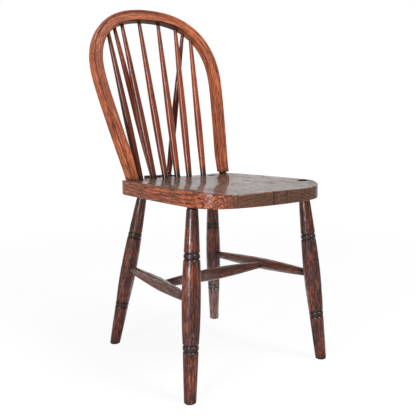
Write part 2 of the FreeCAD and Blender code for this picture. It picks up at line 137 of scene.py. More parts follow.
def waxed_wood(name, grain_of, body, line, glow, soot, pith, ring, figure=0.75, pores=0.6,
               dash=24, flecks=0.45, dirt=0.45, dust=None, gloss=0.3, coat=0.1, shine=0.25,
               film=0.12, wax=1.5, relief=0.0003, extra=None, cuts=None):
    """Old stained timber, grained round a pith line at (across, deep) with rings this wide.

    grain_of gives the place across, deep and along the grain. Cloudy dirt, and what extra
    adds to it (on some pieces painted shade as well as dirt), shows as dust; cuts adds black
    cracks, joints and ends."""
    material = bpy.data.materials.new(name)
    material.use_nodes = True
    tree = material.node_tree
    shader = tree.nodes["Principled BSDF"]
    start = Strand(tree)
    grain = grain_of(start)
    centre = grain.maths("MULTIPLY", grain - (*pith, 0.0), (1.0, 1.0, 0.0))
    radius = start.maths("LENGTH", centre)
    # dark late wood and bands, cloudy dirt, open pores, black dashes and light flecks
    rings = radius / ring + grain.noise((30, 30, 3), 2) * 4.0 + grain.noise((190, 190, 14)) * 1.6
    late = start.maths("PINGPONG", rings, 1).between(0.5, 0.95)
    band = (grain + (0.61, 0.23, 0.17)).noise((240, 240, 13), 3, 0.7).between(0.44, 0.62)
    cloud = grain.noise((16, 16, 6), 3).between(0.36, 0.7)
    pore = grain.noise((1000, 1000, 46), 2).between(0.54, 0.66) * (1.0 - late * 0.5)
    streak = (grain + (0.37, 0.11, 0.53)).noise((330, 330, dash), 3, 0.7).between(0.5, 0.64)
    fleck = grain.noise((360, 360, 44), 3, 0.75).between(0.46, 0.66)
    colour = mix(start, body, glow, fleck * flecks)
    colour = mix(start, colour, line, late.most(band) * figure)
    # grime_and_shade: cloudy dirt and what extra adds; on the hoop and the sticks that includes
    # painted shade, mixed in as dust
    grime_and_shade = cloud * dirt
    if extra:
        grime_and_shade = grime_and_shade.most(extra(start))
    colour = mix(start, colour, dust or soot, grime_and_shade)
    colour = mix(start, colour, soot, pore.most(streak) * pores)
    height = grain.noise((420, 420, 60), 3) * 0.5 - pore - late * 0.4
    if cuts:
        cut = cuts(start)
        colour = mix(start, colour, soot, cut)
        height = height - cut * 3.0
    tree.links.new(colour.socket, shader.inputs["Base Color"])
    rough = gloss + pore * 0.22 + cloud * 0.08 + grime_and_shade * 0.12
    tree.links.new(rough.socket, shader.inputs["Roughness"])
    bump = start.node("ShaderNodeBump", {"Height": height, "Strength": 0.6, "Distance": relief})
    tree.links.new(bump.socket, shader.inputs["Normal"])
    shader.inputs["Specular IOR Level"].default_value = shine
    if isinstance(coat, float):
        shader.inputs["Coat Weight"].default_value = coat
    else:
        tree.links.new(coat(start).socket, shader.inputs["Coat Weight"])
    shader.inputs["Coat Roughness"].default_value = film
    shader.inputs["Coat IOR"].default_value = wax
    return material


def finish_with(piece, material):
    piece.data.materials.clear()
    piece.data.materials.append(material)


def board_grain(start):
    """The seat's grain runs along Y."""
    place = start.node("ShaderNodeTexCoord", out="Object")
    part = start.node("ShaderNodeSeparateXYZ", {"Vector": place})
    across, along, up = (Strand(start.tree, s) for s in part.socket.node.outputs)
    return start.node("ShaderNodeCombineXYZ", {"X": across, "Y": up, "Z": along})


# where sticks, hoop and leg tenons pass through the top: place, and radius of the dark rim
seat_joints = [((x * sign, y), radius) for x, y, radius in (
    (0.098, 0.1488, 0.0085), (0.055, 0.1548, 0.0085), (0.019, 0.1568, 0.0085),
    (0.139, 0.1117, 0.0115), (0.1562, -0.1752, 0.0118), (0.1035, 0.1155, 0.0118))
    for sign in (-1, 1)]
# drying cracks in the front edge: place across, how far back each one runs, half its width
seat_cracks = ((-0.018, -0.222, 0.0013), (0.018, -0.246, 0.0008), (0.066, -0.252, 0.0005),
               (-0.083, -0.258, 0.0005))


def seat_dirt(start):
    """Old polish worn grey on the top, on the end grain in front and along the edges."""
    normal = start.node("ShaderNodeNewGeometry", out="Normal")
    end_grain = start.maths("DOT_PRODUCT", normal, (0.25, -1.0, 0.0)).between(0.55, 1.0)
    upward = start.maths("DOT_PRODUCT", normal, (0.0, 0.0, 1.0))
    arris = upward.between(0.15, 0.5) * (1.0 - upward.between(0.75, 0.98))
    return (end_grain * 0.75).most(upward.between(0.9, 0.99) * 0.78).most(arris * 0.7)


def seat_cuts(start):
    """Black round each joint, and thin drying cracks that wander and close to the back."""
    place = start.node("ShaderNodeTexCoord", out="Object")
    parts = start.node("ShaderNodeSeparateXYZ", {"Vector": place}).socket.node.outputs
    across, along, up = (Strand(start.tree, part) for part in parts)
    wander = (place.noise((60, 160, 160), 2) - 0.5) * 0.006
    marks = []
    for middle, radius in seat_joints:
        away = start.maths("LENGTH", start.maths("MULTIPLY", place - (*middle, 0.0),
                                                 (1.0, 1.0, 0.0)))
        marks.append((1.0 - away.between(radius, radius + 0.006)) * 0.8)
    for x, back, half in seat_cracks:
        away = start.maths("ABSOLUTE", across + wander - x)
        marks.append((1.0 - away.between(half * 0.4, half * 1.6))
                     * (1.0 - along.between(back - 0.014, back)))
    cut = marks[0]
    for mark in marks[1:]:
        cut = cut.most(mark)
    return cut


def top_polish(start):
    """The top is polished by use and pitted along its grain; the edges are smooth and duller."""
    normal = start.node("ShaderNodeNewGeometry", out="Normal")
    upward = start.maths("DOT_PRODUCT", normal, (0.0, 0.0, 1.0)).between(0.6, 0.98)
    pits = board_grain(start).noise((300, 300, 17), 3, 0.75).between(0.48, 0.6)
    return (upward * 0.14 + 0.5) * (1.0 - pits * upward * 0.9)


seat_material = waxed_wood(
    "seat_elm", board_grain, shade(216, 118, 78), shade(88, 38, 27), shade(244, 154, 108),
    shade(26, 16, 13), (0.03, 0.12), 0.0042, figure=0.85, pores=0.8, dash=30, flecks=0.45,
    dirt=0.35, dust=shade(82, 72, 58), gloss=0.3, coat=top_polish, shine=0.25, wax=1.68,
    relief=0.0014, extra=seat_dirt, cuts=seat_cuts)
seat = nodes["seat_board"]
finish_with(seat, seat_material)


# Legs: four turned legs, each with two pairs of cut rings and a soft bead between them.
# The round tenon at the top goes through the seat and is spread by a wedge.

LEG_SIDES = 72
SEAT_UNDER = 0.404
SEAT_THICK = 0.036
TENON_RADIUS = 0.01125
SHOULDER_GAP = 0.004
FOOT_WEAR = 0.0016
FOOT_EDGE = 0.0012
STATION_STEP = 0.004
GROOVE_DEEP = 0.002
GROOVE_HALF = 0.0022
GROOVE_ROOM = 0.0036
GROOVE_STEP = 0.0006
GROOVE_DIRT = 0.0042
BEAD_LONG = 0.012
END_CHAMFER = 0.0008
leg_profile = [(0.0, 25.5), (50.0, 29.3), (80.0, 31.2), (104.0, 33.0), (125.0, 34.4),
               (155.0, 37.6), (209.0, 40.2), (260.0, 38.7), (295.0, 35.8), (316.0, 34.0),
               (351.0, 30.5), (376.0, 28.2), (402.0, 25.0), (412.0, 25.0)]
leg_grooves = (0.109, 0.121, 0.300, 0.312)


def smooth_through(points, at):
    """A smooth curve through (place, value) points, read at one place."""
    i = max(1, min(len(points) - 3, sum(1 for p in points if p[0] <= at) - 1))
    if at < points[1][0]:
        i = 0
    (x1, y1), (x2, y2) = points[i], points[i + 1]
    x0, y0 = points[i - 1] if i else (2 * x1 - x2, 2 * y1 - y2)
    x3, y3 = points[i + 2] if i + 2 < len(points) else (2 * x2 - x1, 2 * y2 - y1)
    t = (at - x1) / (x2 - x1)
    m1 = (y2 - y0) / (x2 - x0) * (x2 - x1)
    m2 = (y3 - y1) / (x3 - x1) * (x2 - x1)
    t2, t3 = t * t, t * t * t
    return ((2 * t3 - 3 * t2 + 1) * y1 + (t3 - 2 * t2 + t) * m1
            + (3 * t2 - 2 * t3) * y2 + (t3 - t2) * m2)


def piece_from(name, points, faces, grain, grime_and_shade):
    """Mesh object with its place along the grain, and its dirt and painted shade, kept as
    attributes.
    """
    mesh = bpy.data.meshes.new(name)
    mesh.from_pydata(points, [], faces)
    mesh.attributes.new("grain", "FLOAT_VECTOR", "POINT").data.foreach_set(
        "vector", np.array(grain, np.float32).ravel())
    mesh.attributes.new("grime_and_shade", "FLOAT", "POINT").data.foreach_set(
        "value", np.array(grime_and_shade, np.float32))
    mesh.polygons.foreach_set("use_smooth", [True] * len(mesh.polygons))
    piece = bpy.data.objects.new(name, mesh)
    bpy.context.scene.collection.objects.link(piece)
    return piece


def tube_faces(rings, sides):
    """Quads round a stack of rings, with both ends closed."""
    faces = []
    for r in range(rings - 1):
        for k in range(sides):
            a, b = r * sides + k, r * sides + (k + 1) % sides
            faces.append((a, b, b + sides, a + sides))
    faces.append(tuple(range(sides))[::-1])
    faces.append(tuple(range((rings - 1) * sides, rings * sides)))
    return faces


def own_grain(start):
    return start.node("ShaderNodeAttribute", settings={"attribute_name": "grain"}, out="Vector")


# reads the grime_and_shade attribute: dirt and dark joints, and on the hoop and the sticks painted
# shade
def own_grime_and_shade(start):
    return start.node("ShaderNodeAttribute", settings={"attribute_name": "grime_and_shade"}, out="Fac")


def turned_leg(name, foot, top, end_z, seed):
    """One leg from the floor to its tenon's end in the seat, knocked and worn."""
    knocks = random.Random(seed)
    foot, top = Vector(foot), Vector(top)
    way = (top - foot).normalized()
    side = way.cross(Vector((0, 1, 0))).normalized()
    other = way.cross(side)
    length = (top - foot).length
    shoulder = length - SHOULDER_GAP
    stations = [i * STATION_STEP for i in range(1, int(shoulder / STATION_STEP) + 1)]
    for groove in leg_grooves:
        stations = [s for s in stations if abs(s - groove) > GROOVE_ROOM]
        stations += [groove + k * GROOVE_STEP for k in range(-6, 7)]
    stations = [0.0, FOOT_EDGE] + sorted(stations) + [shoulder - 0.0005, shoulder]
    dents = [(knocks.uniform(0.02, 0.37), knocks.uniform(0, math.tau),
              knocks.uniform(0.003, 0.007), knocks.uniform(0.0002, 0.0006)) for _ in range(16)]
    phase = knocks.uniform(0, math.tau)
    points, grain, grime_and_shade = [], [], []

    def ring(s, radius, slide_to=None):
        for k in range(LEG_SIDES):
            turn = math.tau * k / LEG_SIDES
            r = radius * (1 + 0.003 * math.sin(2 * turn + phase + s * 9))
            for at, round_at, wide, deep in dents:
                away = math.hypot(s - at, radius * math.remainder(turn - round_at, math.tau))
                if away < 2 * wide:
                    r -= deep * math.exp(-(away / wide) ** 2)
            out = side * math.cos(turn) * r + other * math.sin(turn) * r
            p = foot + way * s + out
            if slide_to is not None:
                p += way * ((slide_to - p.z) / way.z)
            elif p.z < FOOT_EDGE:
                p += way * ((FOOT_EDGE - p.z) / way.z)
            points.append(p)
            cut = min(abs(s - g) for g in leg_grooves)
            dark = 0.97 * max(0.0, 1.0 - cut / GROOVE_DIRT) ** 0.4
            if any(low < s < low + BEAD_LONG for low in leg_grooves[::2]):
                dark = max(dark, 0.7)
            if s > shoulder:
                dark = 0.92
            near_floor = max(0.0, 1 - s / 0.02)
            near_seat = max(0.0, (s - shoulder) / 0.012 + 1)
            grime_and_shade.append(max(dark, 0.65 * near_floor, 0.6 * near_seat))
            grain.append((*(r * c for c in (math.cos(turn), math.sin(turn))), s + seed))

    for s in stations:
        radius = smooth_through(leg_profile, s * 1000) / 2000
        cut = min(abs(s - g) for g in leg_grooves)
        if cut < GROOVE_HALF:
            radius -= GROOVE_DEEP * min(1.0, 1.5 * (1 - cut / GROOVE_HALF)) ** 0.8
        if s == 0.0:
            ring(s, radius - FOOT_WEAR, 0.0)
        else:
            ring(s, radius)
    ring(shoulder + 0.0001, TENON_RADIUS)
    ring(length + SEAT_THICK, TENON_RADIUS, end_z - END_CHAMFER)
    ring(length + SEAT_THICK, TENON_RADIUS - END_CHAMFER, end_z)
    return piece_from(name, points, tube_faces(len(points) // LEG_SIDES, LEG_SIDES), grain, grime_and_shade)


def broken_polish(start):
    """Polish left in patches, rubbed through along the grain."""
    return own_grain(start).noise((200, 200, 36), 3, 0.7).between(0.42, 0.6) * 0.8 + 0.15


leg_material = waxed_wood(
    "leg_stain", own_grain, shade(118, 56, 43), shade(50, 24, 20), shade(222, 112, 70),
    shade(20, 13, 13), (0.034, 0.012), 0.0034, pores=0.92, dash=80, flecks=0.8, dirt=0.5,
    gloss=0.33, coat=broken_polish, shine=0.5, film=0.17, wax=1.92, extra=own_grime_and_shade)
FRONT_END = 0.4333
BACK_END = 0.4315
seed = 1
# foot on the floor, axis where it enters the seat from below, height of the tenon's end
for row, foot, under, end_z in (("front", (0.193, -0.20517), (0.1587, -0.17767), FRONT_END),
                                ("back", (0.164, 0.19983), (0.108, 0.12183), BACK_END)):
    for side_name, sign in (("left", -1), ("right", 1)):
        node = "leg_%s_%s" % (row, side_name)
        leg = turned_leg("turned_" + node, (sign * foot[0], foot[1], 0),
                         (sign * under[0], under[1], SEAT_UNDER), end_z, seed)
        finish_with(leg, leg_material)
        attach(leg, "root")
        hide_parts(node)
        seed += 1


# Stretchers: two side stretchers between the legs and one across between them. Each is
# turned fat in the middle and thin at its ends, which are glued into blind holes.

def swelled_stick_tree():
    """Geometry nodes for a turned stick that swells along its length."""
    tree = bpy.data.node_groups.new("swelled_stick", "GeometryNodeTree")
    sockets = (("Foot", "Vector"), ("Head", "Vector"), ("Foot Diameter", "Float"),
               ("Swell Diameter", "Float"), ("Head Diameter", "Float"), ("Swell Place", "Float"),
               ("Low Taper", "Float"), ("High Taper", "Float"), ("Tenon", "Float"),
               ("Wobble", "Float"), ("Stain", "Float"), ("Seed", "Float"), ("Rings", "Int"),
               ("Sides", "Int"), ("Finish", "Material"))
    for label, kind in sockets:
        tree.interface.new_socket(label, in_out="INPUT", socket_type="NodeSocket" + kind)
    tree.interface.new_socket("Mesh", in_out="OUTPUT", socket_type="NodeSocketGeometry")
    start = Strand(tree)
    given = tree.nodes.new("NodeGroupInput")
    want = {label: Strand(tree, given.outputs[label]) for label, kind in sockets}
    blank = start.node("GeometryNodeMeshCylinder",
                       {"Vertices": want["Sides"], "Side Segments": want["Rings"],
                        "Radius": 1.0, "Depth": 1.0}, out="Mesh")
    here = start.node("GeometryNodeInputPosition")
    parts = start.node("ShaderNodeSeparateXYZ", {"Vector": here}).socket.node.outputs
    round_x, round_y, up = (Strand(tree, s) for s in parts)
    span = want["Head"] - want["Foot"]
    length = start.maths("LENGTH", span)
    run = (up + 0.5) * (length + want["Tenon"] * 2) - want["Tenon"]
    share = run / length
    low = ((want["Swell Place"] - share) / want["Swell Place"]).most(0).least(1)
    high = ((share - want["Swell Place"]) / (1 - want["Swell Place"])).most(0).least(1)
    wide = (want["Swell Diameter"]
            - (want["Swell Diameter"] - want["Foot Diameter"]) * low ** want["Low Taper"]
            - (want["Swell Diameter"] - want["Head Diameter"]) * high ** want["High Taper"])
    flat = start.node("ShaderNodeCombineXYZ", {"X": round_x, "Y": round_y})
    lumps = start.node("ShaderNodeCombineXYZ", {"X": round_x, "Y": round_y,
                                                "Z": run * 22 + want["Seed"]})
    lumps = start.node("ShaderNodeTexNoise", {"Vector": lumps, "Scale": 0.9, "Detail": 2.0},
                       out="Fac") - 0.5
    radius = wide * 0.5 + lumps * want["Wobble"]
    turn = start.node("FunctionNodeAlignRotationToVector", {"Vector": span}, {"axis": "Z"})
    out = start.node("FunctionNodeRotateVector", {"Vector": flat * radius, "Rotation": turn})
    place = want["Foot"] + span * share + out
    along = start.node("ShaderNodeCombineXYZ", {"X": round_x * radius, "Y": round_y * radius,
                                                "Z": run + want["Seed"]})
    kept = start.node("GeometryNodeStoreNamedAttribute",
                      {"Geometry": blank, "Name": "grain", "Value": along},
                      {"data_type": "FLOAT_VECTOR", "domain": "POINT"})
    ends = ((1 - run / 0.03).most(1 - (length - run) / 0.02).most(0).least(1) ** 0.7) * 0.95
    # each stick's set darkness, partly its own tone and partly painted shade, the same all along it
    ends = ends.most(want["Stain"])
    kept = start.node("GeometryNodeStoreNamedAttribute",
                      {"Geometry": kept, "Name": "grime_and_shade", "Value": ends},
                      {"data_type": "FLOAT", "domain": "POINT"})
    moved = start.node("GeometryNodeSetPosition", {"Geometry": kept, "Position": place})
    smooth = start.node("GeometryNodeSetShadeSmooth", {"Geometry": moved})
    real = start.node("GeometryNodeRealizeInstances", {"Geometry": smooth})
    dressed = start.node("GeometryNodeSetMaterial", {"Geometry": real,
                                                     "Material": want["Finish"]})
    tree.links.new(dressed.socket, tree.nodes.new("NodeGroupOutput").inputs[0])
    return tree


stick_tree = swelled_stick_tree()


def swelled_stick(name, **sizes):
    """One stick from the tree, turned into a plain mesh."""
    holder = bpy.data.objects.new(name + "_tree", bpy.data.meshes.new(name + "_tree"))
    bpy.context.scene.collection.objects.link(holder)
    modifier = holder.modifiers.new("stick", "NODES")
    modifier.node_group = stick_tree
    for item in stick_tree.interface.items_tree:
        key = item.name.replace(" ", "_").lower()
        if item.in_out == "INPUT" and key in sizes:
            modifier[item.identifier] = sizes[key]
    holder.update_tag()
    bpy.context.view_layer.update()
    depsgraph = bpy.context.evaluated_depsgraph_get()
    mesh = bpy.data.meshes.new_from_object(holder.evaluated_get(depsgraph), depsgraph=depsgraph,
                                           preserve_all_data_layers=True)
    mesh.name = name
    piece = bpy.data.objects.new(name, mesh)
    bpy.context.scene.collection.objects.link(piece)
    finish_with(piece, sizes["finish"])
    bpy.data.objects.remove(holder)
    return piece


BELLY_RADIUS = 0.0201
STRETCHER_TENON = 0.008
STRETCHER_TAPER = 1.45
STRETCHER_WOBBLE = 0.0006
SIDE_END, SIDE_SWELL, SIDE_SWELL_PLACE = 0.0175, 0.029, 0.56
CROSS_END, CROSS_SWELL, CROSS_INSET = 0.0165, 0.0305, 0.0145
leg_middles = {"front": Vector((0.17494, -0.19069, 0.21275)),
               "back": Vector((0.13514, 0.15963, 0.20821))}
side_middle = Vector((0.15743, -0.03655, 0.21074))


def between_turnings(a, b, inset):
    """Ends of a stretcher that reaches from one turned piece to another."""
    way = (b - a).normalized()
    return a + way * inset, b - way * inset


stretcher_material = waxed_wood(
    "stretcher_stain", own_grain, shade(128, 70, 51), shade(58, 32, 26), shade(208, 108, 68),
    shade(28, 17, 15), (0.03, 0.02), 0.0034, pores=0.7, dash=60, flecks=0.6, dirt=0.75,
    dust=shade(122, 106, 98), gloss=0.36, coat=broken_polish, shine=0.5, film=0.17,
    wax=1.92, cuts=own_grime_and_shade)


def turned_stretcher(name, foot, head, end, swell, swell_place, seed):
    """A stretcher with both ends alike."""
    return swelled_stick(
        name, foot=foot, head=head, foot_diameter=end, swell_diameter=swell, head_diameter=end,
        swell_place=swell_place, low_taper=STRETCHER_TAPER, high_taper=STRETCHER_TAPER,
        tenon=STRETCHER_TENON, wobble=STRETCHER_WOBBLE, stain=0.0, seed=seed, rings=160, sides=56,
        finish=stretcher_material)


for side_name, sign in (("left", -1), ("right", 1)):
    mirror = Vector((sign, 1, 1))
    foot, head = between_turnings(leg_middles["back"] * mirror, leg_middles["front"] * mirror,
                                  BELLY_RADIUS)
    stretcher = turned_stretcher("turned_stretcher_" + side_name, foot, head, SIDE_END, SIDE_SWELL,
                                 SIDE_SWELL_PLACE, 20.0 + sign)
    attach(stretcher, "root")
    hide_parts("stretcher_" + side_name)
foot, head = between_turnings(side_middle * Vector((-1, 1, 1)), side_middle, CROSS_INSET)
cross = turned_stretcher("turned_stretcher_cross", foot, head, CROSS_END, CROSS_SWELL, 0.5, 31.0)
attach(cross, "root")
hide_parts("stretcher_cross")


# Bobtail: a small fishtail block of the seat's wood, tenoned into the back edge of the
# seat to carry the feet of the braces. Its arrises are rounded and dark with handling, and
# the whole block is painted darker than the seat as painted shade.

BOBTAIL_TOP = 0.4375
BOBTAIL_THICK = 0.030
NECK_HALF, NECK_Y = 0.030, 0.1845
END_HALF, END_Y, NOTCH_Y = 0.039, 0.2398, 0.2298
EAR_ROUND = 0.0045
ARRIS = 0.0028


def fishtail_outline():
    """The block seen from above: straight flared sides, rounded ears and a hollow end."""
    outline = [(-NECK_HALF, NECK_Y)]
    for k in range(7):
        turn = math.radians(175 - 21 * k)
        outline.append((-END_HALF + EAR_ROUND * (1 + math.cos(turn)),
                        END_Y - EAR_ROUND * (1 - math.sin(turn))))
    for k in range(1, 12):
        x = -END_HALF + 2 * EAR_ROUND + (END_HALF - 2 * EAR_ROUND) * k / 6
        rise = (x / (END_HALF - 2 * EAR_ROUND)) ** 2
        outline.append((x, NOTCH_Y + (END_Y - 0.0012 - NOTCH_Y) * rise))
    return outline + [(-x, y) for x, y in outline[:8][::-1]]


block = bmesh.new()
top_face = block.faces.new([block.verts.new((x, y, BOBTAIL_TOP)) for x, y in fishtail_outline()])
bmesh.ops.recalc_face_normals(block, faces=[top_face])
lower = bmesh.ops.extrude_face_region(block, geom=[top_face])
for part in lower["geom"]:
    if isinstance(part, bmesh.types.BMVert):
        part.co.z -= BOBTAIL_THICK
bmesh.ops.recalc_face_normals(block, faces=block.faces)
rims = [e for e in block.edges if abs(e.verts[0].co.z - e.verts[1].co.z) < 1e-6
        and max(e.verts[0].co.y, e.verts[1].co.y) > NECK_Y + 1e-5]
bmesh.ops.bevel(block, geom=rims, offset=ARRIS, segments=4, profile=0.55, affect="EDGES")
bmesh.ops.triangulate(block, faces=[f for f in block.faces if len(f.verts) > 4])
bobtail_mesh = bpy.data.meshes.new("fishtail_block")
block.to_mesh(bobtail_mesh)
block.free()
bobtail_mesh.polygons.foreach_set("use_smooth", [True] * len(bobtail_mesh.polygons))
bobtail = bpy.data.objects.new("fishtail_block", bobtail_mesh)
bpy.context.scene.collection.objects.link(bobtail)
# the seat's grain in darker colours than the seat: painted shade on the block, which sits behind
# the seat
shaded_bobtail_material = waxed_wood(
    "bobtail_elm", board_grain, shade(104, 58, 42), shade(56, 30, 23), shade(142, 84, 58),
    shade(26, 16, 13), (0.03, 0.12), 0.0042, pores=0.7, dash=40, dirt=0.5,
    dust=shade(58, 46, 40), coat=top_polish, shine=0.3, extra=seat_dirt)
finish_with(bobtail, shaded_bobtail_material)
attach(bobtail, "root")
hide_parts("bobtail")


# Hoop: one length of ash, steamed and bent to a tall bow. It is squared with rounded
# edges, has a line scratched near its outer edge, and its ends are cut down to round
# tenons that go through the seat, where each is wedged.

HOOP_TILT = math.radians(18.6)
HOOP_FOOT = Vector((0, 0.11383, 0.440))
HOOP_UP = Vector((0, math.sin(HOOP_TILT), math.cos(HOOP_TILT)))
HOOP_BACK = Vector((0, math.cos(HOOP_TILT), -math.sin(HOOP_TILT)))
HOOP_DEPTH = 0.025
HOOP_WIDE = 0.0295
HOOP_FOOT_WIDE = 0.025
HOOP_FOOT_TAPER = 0.070
HOOP_SHOULDERS = {-1: 0.4394, 1: 0.4445}
HOOP_TENON_RADIUS = 0.010
LINE_IN, LINE_HALF, LINE_DEEP = 0.0067, 0.0009, 0.0009
LINE_DIRT_HALF = 0.0008
FOOT_DIRT_HIGH = 0.012
TOP_DARK_HALF = 0.16
hoop_half = [(151.5, -8), (155, 20), (167, 91), (177, 155), (185, 208), (191, 257), (192, 308),
             (179.5, 361), (150, 407.5), (105.5, 439.5), (53.5, 455.5)]
HOOP_TOP = 459.5
HOOP_STATIONS = 420


def even_bow(points, count):
    """Natural cubic curve through points, read at even steps, as places and directions."""
    points = np.array(points, float)
    gap = np.linalg.norm(np.diff(points, axis=0), axis=1)
    at = np.concatenate([[0], np.cumsum(gap)])
    n = len(points)
    system, known = np.zeros((n, n)), np.zeros((n, 2))
    system[0, 0] = system[-1, -1] = 1
    for i in range(1, n - 1):
        system[i, i - 1:i + 2] = gap[i - 1], 2 * (gap[i - 1] + gap[i]), gap[i]
        known[i] = 6 * ((points[i + 1] - points[i]) / gap[i]
                        - (points[i] - points[i - 1]) / gap[i - 1])
    bend = np.linalg.solve(system, known)
    where = np.linspace(0, at[-1], count)
    places, ways = [], []
    for s in where:
        i = min(int(np.searchsorted(at, s, side="right")) - 1, n - 2)
        h, left, right = gap[i], at[i + 1] - s, s - at[i]
        a, b = bend[i] / 6, bend[i + 1] / 6
        low = points[i] / h - a * h
        high = points[i + 1] / h - b * h
        places.append(a * left ** 3 / h + b * right ** 3 / h + low * left + high * right)
        ways.append(-3 * a * left ** 2 / h + 3 * b * right ** 2 / h - low + high)
    ways = np.array(ways)
    ways /= np.linalg.norm(ways, axis=1)[:, None]
    return np.array(places), ways


def hoop_section(wide):
    """Points round the hoop's squared section: distance in from its outer edge, and depth."""
    round_off = 0.004
    half = HOOP_DEPTH / 2
    section = []
    corners = ((round_off, -half + round_off, 180), (wide - round_off, -half + round_off, 270),
               (wide - round_off, half - round_off, 0), (round_off, half - round_off, 90))
    for number, (u, v, first) in enumerate(corners):
        for k in range(7):
            turn = math.radians(first + 15 * k)
            section.append((u + round_off * math.cos(turn), v + round_off * math.sin(turn)))
        if number == 0:
            for k in range(-3, 4):
                dip = LINE_DEEP * max(0.0, 1 - abs(k) / 3) ** 0.6
                section.append((LINE_IN + LINE_HALF * k / 3, -half + dip))
            section += [(wide * share, -half) for share in (0.4, 0.5, 0.6, 0.7)]
        if number == 1:
            section += [(wide, half * share) for share in (-0.4, 0, 0.4)]
        if number == 2:
            section += [(wide * share, half) for share in (0.7, 0.6, 0.5, 0.4, 0.3)]
        if number == 3:
            section += [(0.0, half * share) for share in (0.4, 0, -0.4)]
    return section


right_half = [(x / 1000, t / 1000) for x, t in hoop_half]
bow = right_half + [(0, HOOP_TOP / 1000)] + [(-x, t) for x, t in right_half[::-1]]
bow_places, bow_ways = even_bow(bow, HOOP_STATIONS)
points, grain, grime_and_shade = [], [], []
lengths = np.concatenate([[0], np.cumsum(np.linalg.norm(np.diff(bow_places, axis=0), axis=1))])
section_size = len(hoop_section(HOOP_WIDE))
for i in range(HOOP_STATIONS):
    (x, t), (dx, dt) = bow_places[i], bow_ways[i]
    inward = Vector((-dt, 0, 0)) + HOOP_UP * dx
    here = HOOP_FOOT + Vector((x, 0, 0)) + HOOP_UP * t
    if inward.dot(HOOP_FOOT + HOOP_UP * HOOP_TOP / 2000 - here) < 0:
        inward = -inward
    full = min(max(t / HOOP_FOOT_TAPER, 0), 1)
    full = full * full * (3 - 2 * full)
    wide = HOOP_FOOT_WIDE + (HOOP_WIDE - HOOP_FOOT_WIDE) * full
    for u, v in hoop_section(wide):
        p = here + inward * u + HOOP_BACK * v
        shoulder_z = HOOP_SHOULDERS[1 if x > 0 else -1]
        if p.z < shoulder_z:
            along = Vector((dx, 0, 0)) + HOOP_UP * dt
            p = p + along * ((shoulder_z - p.z) / along.z)
        points.append(p)
        grain.append((u, v, lengths[i]))
        dark = 0.75 * max(0.0, 1 - (p.z - shoulder_z) / FOOT_DIRT_HIGH)
        front_face = v < LINE_DEEP - HOOP_DEPTH / 2 + 0.0002
        if front_face and abs(u - LINE_IN) < LINE_DIRT_HALF:
            # the line is worn away on the right side
            dark = max(dark, 0.85 - 0.6 * min(max((x + 0.02) / 0.12, 0), 1))
        # darker near the top: the inner face there, which faces down, is painted shade; the other
        # faces there, and the whole left half, are a little darker
        near_top = min(1.0, 2 * max(0.0, 1 - abs(x) / TOP_DARK_HALF))
        inner_face = u > wide - 0.0015
        grime_and_shade.append(max(dark, (0.85 if inner_face else 0.2) * near_top, 0.15 if x < 0 else 0.0))
faces = tube_faces(HOOP_STATIONS, section_size)
TENON_SIDES = 40
tenon_foot = Vector((0.13907, 0.11169, 0.43364))
tenon_way = Vector((-0.12, -0.49, -0.94)).normalized()
for sign in (1, -1):
    way = Vector((sign * tenon_way.x, tenon_way.y, tenon_way.z))
    middle = Vector((sign * tenon_foot.x, tenon_foot.y, tenon_foot.z))
    side = way.cross(Vector((0, 1, 0))).normalized()
    other = way.cross(side)
    first = len(points)
    heights = (HOOP_SHOULDERS[sign] + 0.006, HOOP_SHOULDERS[sign], 0.436, SEAT_UNDER + 0.0005)
    for z in heights:
        for k in range(TENON_SIDES):
            turn = math.tau * k / TENON_SIDES
            p = middle + (side * math.cos(turn) + other * math.sin(turn)) * HOOP_TENON_RADIUS
            points.append(p + way * ((z - p.z) / way.z))
            grain.append((math.cos(turn) * 0.01, math.sin(turn) * 0.01, z))
            grime_and_shade.append(0.9)
    faces += [tuple(first + corner for corner in face)
              for face in tube_faces(len(heights), TENON_SIDES)]
hoop = piece_from("bent_hoop", points, faces, grain, grime_and_shade)
shell = bmesh.new()
shell.from_mesh(hoop.data)
bmesh.ops.remove_doubles(shell, verts=shell.verts, dist=1e-6)
bmesh.ops.recalc_face_normals(shell, faces=shell.faces)
shell.to_mesh(hoop.data)
shell.free()

hoop_material = waxed_wood(
    "hoop_ash", own_grain, shade(228, 126, 82), shade(116, 52, 36), shade(248, 158, 104),
    shade(40, 20, 14), (0.02, 0.16), 0.0036, figure=0.72, pores=0.72, dash=45, flecks=0.6,
    dirt=0.3, gloss=0.34, coat=0.06, shine=0.2, extra=own_grime_and_shade)
finish_with(hoop, hoop_material)
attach(hoop, "root")
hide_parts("hoop")


# Spindles: six turned sticks of close-grained wood, thickest a third of the way up,
# glued into blind holes in the seat and under the hoop. Rubbed dark and glossy.

spindle_material = waxed_wood(
    "spindle_stain", own_grain, shade(184, 80, 42), shade(92, 36, 25), shade(232, 120, 54),
    shade(30, 16, 13), (0.05, 0.02), 0.0032, figure=0.6, pores=0.5, flecks=0.45, dirt=0.3,
    gloss=0.4, coat=1.0, shine=0.1, film=0.12, wax=1.7, relief=0.00015, extra=own_grime_and_shade)
STICK_IN_HOOP = 0.01475
STICK_TENON = 0.012
STICK_SWELL_PLACE = 0.38
STICK_WOBBLE = 0.0005
SPINDLE_DIAMETERS = (0.0155, 0.0193, 0.0098)
BRACE_DIAMETERS = (0.014, 0.018, 0.0095)
# how dark each stick is made, left and right: partly its own tone, partly painted shade, darkest on
# the left spindles and the right brace, which stand in shade
stick_tone_and_shade = {"spindle_outer": (0.62, 0.0), "spindle_middle": (0.5, 0.1),
                "spindle_inner": (0.35, 0.25), "brace": (0.0, 0.62)}
seed = 40.0
